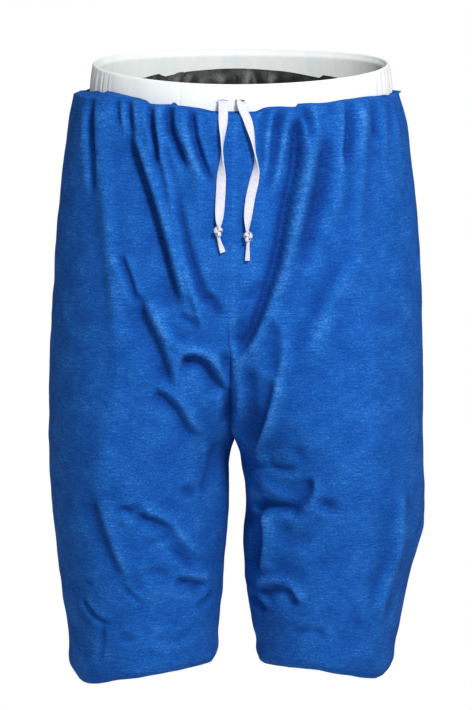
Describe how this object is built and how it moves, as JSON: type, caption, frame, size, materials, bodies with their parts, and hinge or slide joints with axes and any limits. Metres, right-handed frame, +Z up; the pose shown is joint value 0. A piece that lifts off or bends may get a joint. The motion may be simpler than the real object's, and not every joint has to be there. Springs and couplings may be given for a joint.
{
  "type": "padded impact shorts",
  "caption": "Loose knee-length shorts with an elastic drawstring waist, foam impact pads in hidden pockets at hip, thigh, seat and tailbone, and a full lining.",
  "frame": {"origin": "centre of the waist opening, level with the waistband's rim at the hips", "axes": "+Z up along the body, -Y the front of the shorts, +X the wearer's left"},
  "size_m": [0.3746, 0.2665, 0.62],
  "materials": {
    "shell_knit": "matt brushed knit, blue melange",
    "waistband_rib": "matt fine white knit over elastic",
    "drawstring_tape": "white woven flat tape",
    "lining_fabric": "dark crinkled lining with a soft sheen",
    "foam": "closed-cell foam, matt",
    "pocket_mesh": "fine dark mesh",
    "elastic": "woven elastic, matt",
    "thread": "polyester thread"
  },
  "bodies": {
    "root": {"waistband": "waistband_rib", "waist_elastic": "elastic", "drawstring_run": "drawstring_tape", "shell_front_left": "shell_knit", "shell_front_right": "shell_knit", "shell_back_left": "shell_knit", "shell_back_right": "shell_knit", "hem_facing_left": "shell_knit", "hem_facing_right": "shell_knit", "lining_front_left": "lining_fabric", "lining_front_right": "lining_fabric", "lining_back_left": "lining_fabric", "lining_back_right": "lining_fabric", "buttonhole_left": "thread", "buttonhole_right": "thread", "hip_left_pad": "foam", "hip_right_pad": "foam", "thigh_left_pad": "foam", "thigh_right_pad": "foam", "seat_left_pad": "foam", "seat_right_pad": "foam", "tailbone_pad": "foam", "hip_left_pad_pocket": "pocket_mesh", "hip_right_pad_pocket": "pocket_mesh", "thigh_left_pad_pocket": "pocket_mesh", "thigh_right_pad_pocket": "pocket_mesh", "seat_left_pad_pocket": "pocket_mesh", "seat_right_pad_pocket": "pocket_mesh", "tailbone_pad_pocket": "pocket_mesh"},
    "tail_left": {"drawstring_tail_left": "drawstring_tape", "drawstring_knot_left": "drawstring_tape", "drawstring_tip_left": "drawstring_tape"},
    "tail_right": {"drawstring_tail_right": "drawstring_tape", "drawstring_knot_right": "drawstring_tape", "drawstring_tip_right": "drawstring_tape"}
  },
  "joints": [
    {"name": "left_tail_pull", "type": "slide", "parent": "root", "child": "tail_left", "axis": [0, -0.0832, -0.9965], "range_m": [-0.1, 0.06], "deforming": ["drawstring_tail_left"]},
    {"name": "right_tail_pull", "type": "slide", "parent": "root", "child": "tail_right", "axis": [0, -0.0832, -0.9965], "range_m": [-0.1, 0.06], "deforming": ["drawstring_tail_right"]}
  ]
}
